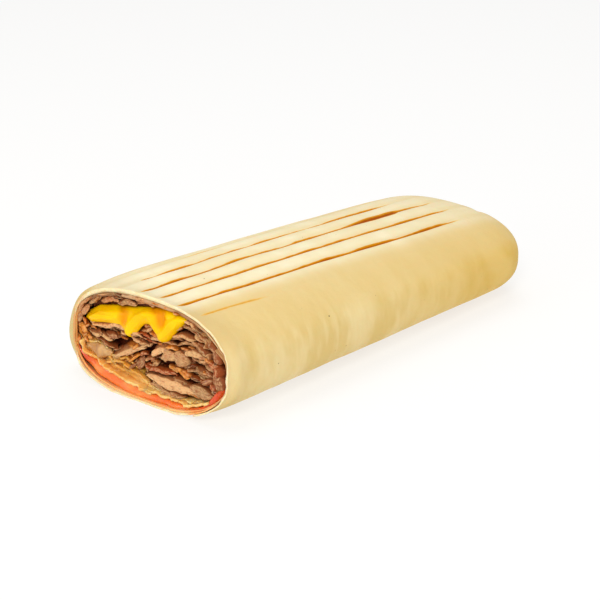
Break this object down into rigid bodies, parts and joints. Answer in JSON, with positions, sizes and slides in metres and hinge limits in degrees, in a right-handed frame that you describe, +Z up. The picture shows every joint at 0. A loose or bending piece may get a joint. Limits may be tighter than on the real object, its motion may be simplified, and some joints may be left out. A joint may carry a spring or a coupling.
{
  "type": "lavash wrap",
  "caption": "Grilled flatbread wrap with one end cut, showing sliced meat, cheese sauce, tomato and cabbage inside the rolled sheet.",
  "frame": {"origin": "on the surface that the wrap rests on, under the middle of its box", "axes": "+X along the wrap towards its closed end, so that the cut faces -X; +Z up through its flat grilled top"},
  "size_m": [0.1742, 0.0798, 0.0379],
  "materials": {
    "lavash": "dry baked flatbread, cream with brown grill lines",
    "meat": "roasted sliced meat, moist, browned at its edges",
    "cheese_sauce": "smooth glossy yellow sauce",
    "tomato": "wet tomato flesh",
    "cabbage": "pale yellow cabbage, slightly moist"
  },
  "bodies": {
    "root": {"lavash": "lavash", "meat": "meat", "cheese_sauce": "cheese_sauce", "tomato_slice_1": "tomato", "tomato_slice_2": "tomato", "cabbage": "cabbage"}
  },
  "joints": []
}
